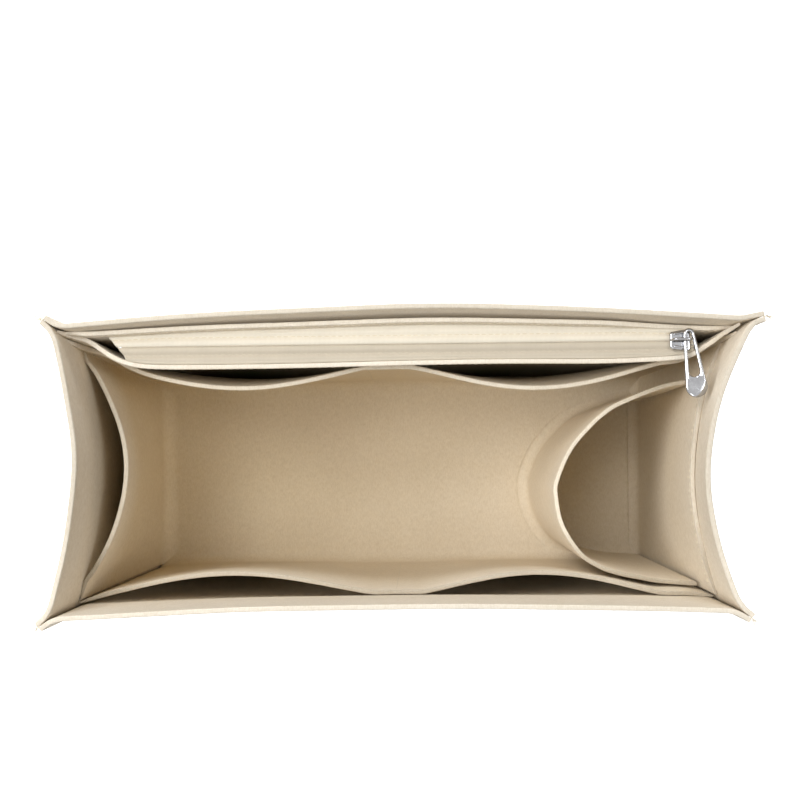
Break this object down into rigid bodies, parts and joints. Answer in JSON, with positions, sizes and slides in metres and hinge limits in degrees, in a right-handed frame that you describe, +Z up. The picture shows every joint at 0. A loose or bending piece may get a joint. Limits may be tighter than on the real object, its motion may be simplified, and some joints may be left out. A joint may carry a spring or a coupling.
{
  "type": "purse organizer insert",
  "caption": "Open felt organizer insert for a handbag, with slip pockets on all walls, a curved bottle holder and a zipped pocket with a metal pull.",
  "frame": {"origin": "middle of the footprint on the ground, below the middle of the insert's box", "axes": "+X along the insert's length towards the bottle holder, +Y towards the zip pocket's wall, +Z up out of the open top"},
  "size_m": [0.3114, 0.1354, 0.1602],
  "materials": {
    "felt": "pressed wool-blend felt, matt, with a faint fibre grain and paler cut edges",
    "zipper_tape": "woven polyester tape, matt with a slight sheen",
    "zipper_teeth": "nylon coil, satin",
    "nickel": "polished nickel plate"
  },
  "bodies": {
    "organizer": {"front_wall": "felt", "back_wall": "felt", "left_end_wall": "felt", "right_end_wall": "felt", "bottom_panel": "felt", "front_slip_pocket": "felt", "left_slip_pocket": "felt", "right_slip_pocket": "felt", "bottle_holder": "felt", "zip_pocket_back_panel": "felt", "zip_pocket_front_panel": "felt", "zip_slip_pocket": "felt", "zipper_tape_front": "zipper_tape", "zipper_tape_back": "zipper_tape", "zipper_teeth_front": "zipper_teeth", "zipper_teeth_back": "zipper_teeth", "top_stop_front": "nickel", "top_stop_back": "nickel", "bottom_stop": "nickel"},
    "slider": {"slider_body": "nickel", "slider_bail": "nickel"},
    "pull": {"zipper_pull": "nickel"}
  },
  "joints": [
    {"name": "slider_travel", "type": "slide", "parent": "organizer", "child": "slider", "axis": [1, 0, 0], "range_m": [-0.236, 0]},
    {"name": "pull_swivel", "type": "hinge", "parent": "slider", "child": "pull", "pos_m": [0.1266, 0.05435, 0.1506], "axis": [0, 0, 1], "range_deg": [-50, 0]}
  ]
}
